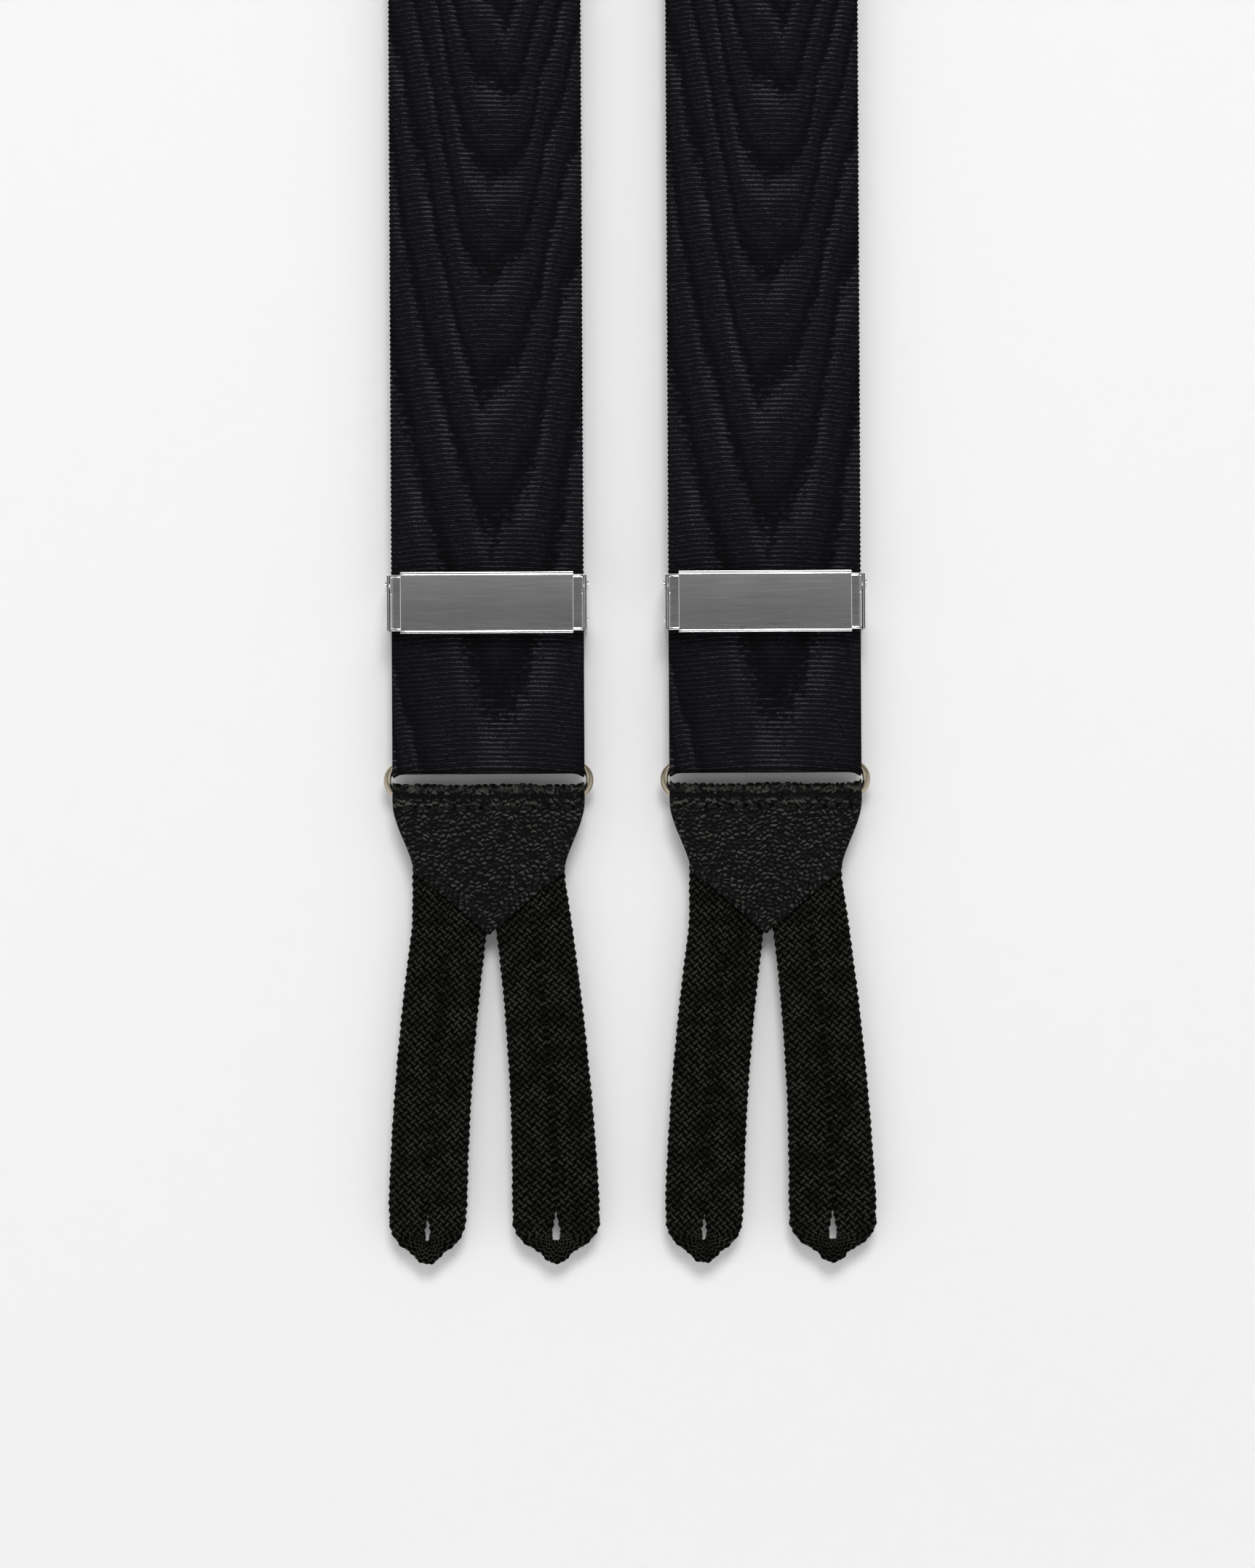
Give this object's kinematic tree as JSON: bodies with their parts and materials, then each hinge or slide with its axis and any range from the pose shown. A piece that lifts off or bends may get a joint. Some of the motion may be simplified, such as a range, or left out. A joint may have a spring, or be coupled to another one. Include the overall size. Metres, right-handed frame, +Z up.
{
  "type": "suspenders",
  "caption": "Button-on dress suspenders: ribbon straps with slide adjusters, wire loops, leather tabs and braided button loops, draped as over a shoulder.",
  "frame": {"origin": "axis of the hanger bar that the straps are draped over, midway between them", "axes": "+X along the bar to the right as the front is seen, +Y to the back, +Z up"},
  "size_m": [0.0978, 0.048, 0.676],
  "materials": {
    "ribbon": "black moire grosgrain ribbon",
    "elastic": "black woven elastic",
    "slide_metal": "polished nickel",
    "wire": "polished warm nickel",
    "leather": "black pebbled leather",
    "braid": "black plaited braid",
    "thread": "black sewing thread"
  },
  "bodies": {
    "harness": {"left_ribbon": "ribbon", "right_ribbon": "ribbon", "left_ribbon_run": "ribbon", "right_ribbon_run": "ribbon", "yoke_patch": "leather", "yoke_lining": "leather", "yoke_stitching": "thread", "elastic_strap": "elastic", "elastic_stitching": "thread"},
    "left_slide": {"left_slide_frame": "slide_metal", "left_lever_pins": "slide_metal", "left_hem_bar": "wire", "left_ribbon_hem": "ribbon", "left_hem_stitching": "thread"},
    "left_lever": {"left_lever": "slide_metal"},
    "left_tail": {"left_ribbon_tail": "ribbon"},
    "left_loop": {"left_wire_loop": "wire"},
    "left_tab": {"left_leather_tab": "leather", "left_tab_stitching": "thread", "left_braid_loop_a": "braid", "left_braid_loop_b": "braid", "left_braid_seams": "thread"},
    "right_slide": {"right_slide_frame": "slide_metal", "right_lever_pins": "slide_metal", "right_hem_bar": "wire", "right_ribbon_hem": "ribbon", "right_hem_stitching": "thread"},
    "right_lever": {"right_lever": "slide_metal"},
    "right_tail": {"right_ribbon_tail": "ribbon"},
    "right_loop": {"right_wire_loop": "wire"},
    "right_tab": {"right_leather_tab": "leather", "right_tab_stitching": "thread", "right_braid_loop_a": "braid", "right_braid_loop_b": "braid", "right_braid_seams": "thread"},
    "back_loop": {"back_wire_loop": "wire"},
    "back_tab": {"back_leather_tab": "leather", "back_tab_stitching": "thread", "back_braid_loop_a": "braid", "back_braid_loop_b": "braid", "back_braid_seams": "thread"}
  },
  "joints": [
    {"name": "left_slide_adjust", "type": "slide", "parent": "harness", "child": "left_slide", "axis": [0, 0, 1], "range_m": [-0.035, 0.15], "deforming": ["left_ribbon_run"]},
    {"name": "left_lever_pivot", "type": "hinge", "parent": "left_slide", "child": "left_lever", "pos_m": [-0.0274, -0.0239, -0.5208], "axis": [-1, 0, 0], "range_deg": [0, 90]},
    {"name": "left_tail_follow", "type": "slide", "parent": "left_slide", "child": "left_tail", "axis": [0, 0, 1], "range_m": [-0.075, 0.0175], "deforming": ["left_ribbon_tail"]},
    {"name": "left_loop_swing", "type": "hinge", "parent": "left_tail", "child": "left_loop", "pos_m": [-0.0274, -0.0192, -0.5561], "axis": [-1, 0, 0], "range_deg": [-2, 75]},
    {"name": "left_tab_swing", "type": "hinge", "parent": "left_loop", "child": "left_tab", "pos_m": [-0.0274, -0.0192, -0.5622], "axis": [-1, 0, 0], "range_deg": [-2, 75]},
    {"name": "right_slide_adjust", "type": "slide", "parent": "harness", "child": "right_slide", "axis": [0, 0, 1], "range_m": [-0.035, 0.15], "deforming": ["right_ribbon_run"]},
    {"name": "right_lever_pivot", "type": "hinge", "parent": "right_slide", "child": "right_lever", "pos_m": [0.0274, -0.0239, -0.5208], "axis": [-1, 0, 0], "range_deg": [0, 90]},
    {"name": "right_tail_follow", "type": "slide", "parent": "right_slide", "child": "right_tail", "axis": [0, 0, 1], "range_m": [-0.075, 0.0175], "deforming": ["right_ribbon_tail"]},
    {"name": "right_loop_swing", "type": "hinge", "parent": "right_tail", "child": "right_loop", "pos_m": [0.0274, -0.0192, -0.5561], "axis": [-1, 0, 0], "range_deg": [-2, 75]},
    {"name": "right_tab_swing", "type": "hinge", "parent": "right_loop", "child": "right_tab", "pos_m": [0.0274, -0.0192, -0.5622], "axis": [-1, 0, 0], "range_deg": [-2, 75]},
    {"name": "back_loop_swing", "type": "hinge", "parent": "harness", "child": "back_loop", "pos_m": [0, 0.0192, -0.2811], "axis": [1, 0, 0], "range_deg": [-8, 75]},
    {"name": "back_tab_swing", "type": "hinge", "parent": "back_loop", "child": "back_tab", "pos_m": [0, 0.0192, -0.2872], "axis": [1, 0, 0], "range_deg": [-8, 75]}
  ],
  "couplings": [
    {"joint": "left_tail_follow", "follows": "left_slide_adjust", "ratio": -0.5},
    {"joint": "right_tail_follow", "follows": "right_slide_adjust", "ratio": -0.5}
  ]
}
